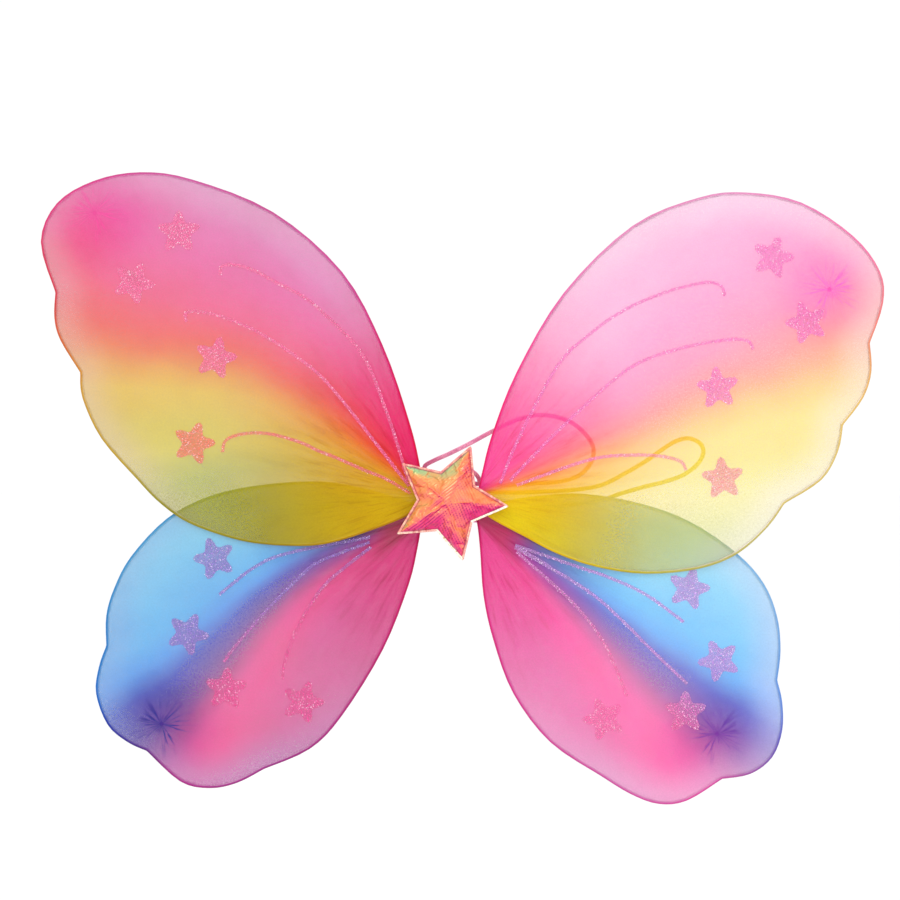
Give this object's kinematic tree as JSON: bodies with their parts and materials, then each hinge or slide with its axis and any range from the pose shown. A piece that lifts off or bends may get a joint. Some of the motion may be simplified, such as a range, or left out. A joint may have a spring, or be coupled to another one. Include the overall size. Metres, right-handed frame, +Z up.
{
  "type": "costume fairy wings",
  "caption": "Child's costume fairy wings: scalloped wire hoops in sheer dyed nylon, a padded star at the centre and elastic shoulder loops.",
  "frame": {"origin": "middle of the felt patch's outer face, where the wings rest on the wearer's back", "axes": "+X across the wings to the right as seen from the star side, +Y out of the back patch towards the wearer, +Z up"},
  "size_m": [0.5042, 0.028, 0.3784],
  "materials": {
    "hoop_wire": "plain bright wire",
    "upper_nylon": "sheer knitted nylon, dyed pink to yellow",
    "lower_nylon": "sheer knitted nylon, dyed blue to pink",
    "thread": "sewing thread",
    "glitter": "glued glitter",
    "star_film": "iridescent ribbed film",
    "star_rim": "heat-welded film edge",
    "felt": "felt",
    "wadding": "polyester wadding",
    "glue": "set hot-melt glue",
    "tape": "cloth tape over the wire ends",
    "ribbon": "wound ribbon",
    "elastic": "knitted elastic"
  },
  "bodies": {
    "centre": {"centre_core": "tape", "centre_wrap": "ribbon", "back_patch": "felt", "star_glue_pad": "glue", "star_back": "felt", "star_front": "star_film", "star_filling": "wadding", "star_rim": "star_rim", "left_strap": "elastic", "right_strap": "elastic", "left_strap_knot": "elastic", "right_strap_knot": "elastic"},
    "left_side": {"left_stem_wires": "hoop_wire", "left_stem_wrap": "ribbon"},
    "right_side": {"right_stem_wires": "hoop_wire", "right_stem_wrap": "ribbon"},
    "upper_left_wing": {"upper_left_wire_loop": "hoop_wire", "upper_left_wire_tail": "hoop_wire", "upper_left_nylon_front": "upper_nylon", "upper_left_nylon_back": "upper_nylon", "upper_left_root_tie": "thread", "upper_left_toe_knot": "thread", "upper_left_glitter": "glitter"},
    "upper_right_wing": {"upper_right_wire_loop": "hoop_wire", "upper_right_wire_tail": "hoop_wire", "upper_right_nylon_front": "upper_nylon", "upper_right_nylon_back": "upper_nylon", "upper_right_root_tie": "thread", "upper_right_toe_knot": "thread", "upper_right_glitter": "glitter"},
    "lower_left_wing": {"lower_left_wire_loop": "hoop_wire", "lower_left_wire_tail": "hoop_wire", "lower_left_nylon_front": "lower_nylon", "lower_left_nylon_back": "lower_nylon", "lower_left_root_tie": "thread", "lower_left_toe_knot": "thread", "lower_left_glitter": "glitter"},
    "lower_right_wing": {"lower_right_wire_loop": "hoop_wire", "lower_right_wire_tail": "hoop_wire", "lower_right_nylon_front": "lower_nylon", "lower_right_nylon_back": "lower_nylon", "lower_right_root_tie": "thread", "lower_right_toe_knot": "thread", "lower_right_glitter": "glitter"}
  },
  "joints": [
    {"name": "left_fold", "type": "hinge", "parent": "centre", "child": "left_side", "pos_m": [-0.008, -0.0048, 0], "axis": [0, 0, -1], "range_deg": [-8, 45]},
    {"name": "right_fold", "type": "hinge", "parent": "centre", "child": "right_side", "pos_m": [0.008, -0.0048, 0], "axis": [0, 0, 1], "range_deg": [-8, 45], "deforming": ["left_strap", "right_strap"]},
    {"name": "upper_left_swing", "type": "hinge", "parent": "left_side", "child": "upper_left_wing", "pos_m": [-0.0121, -0.0064, 0.002], "axis": [0, 1, 0], "range_deg": [-8, 8]},
    {"name": "upper_right_swing", "type": "hinge", "parent": "right_side", "child": "upper_right_wing", "pos_m": [0.0121, -0.0064, 0.002], "axis": [0, -1, 0], "range_deg": [-8, 8]},
    {"name": "lower_left_swing", "type": "hinge", "parent": "left_side", "child": "lower_left_wing", "pos_m": [-0.0121, -0.0032, -0.008], "axis": [0, 1, 0], "range_deg": [-8, 8]},
    {"name": "lower_right_swing", "type": "hinge", "parent": "right_side", "child": "lower_right_wing", "pos_m": [0.0121, -0.0032, -0.008], "axis": [0, -1, 0], "range_deg": [-8, 8]}
  ]
}
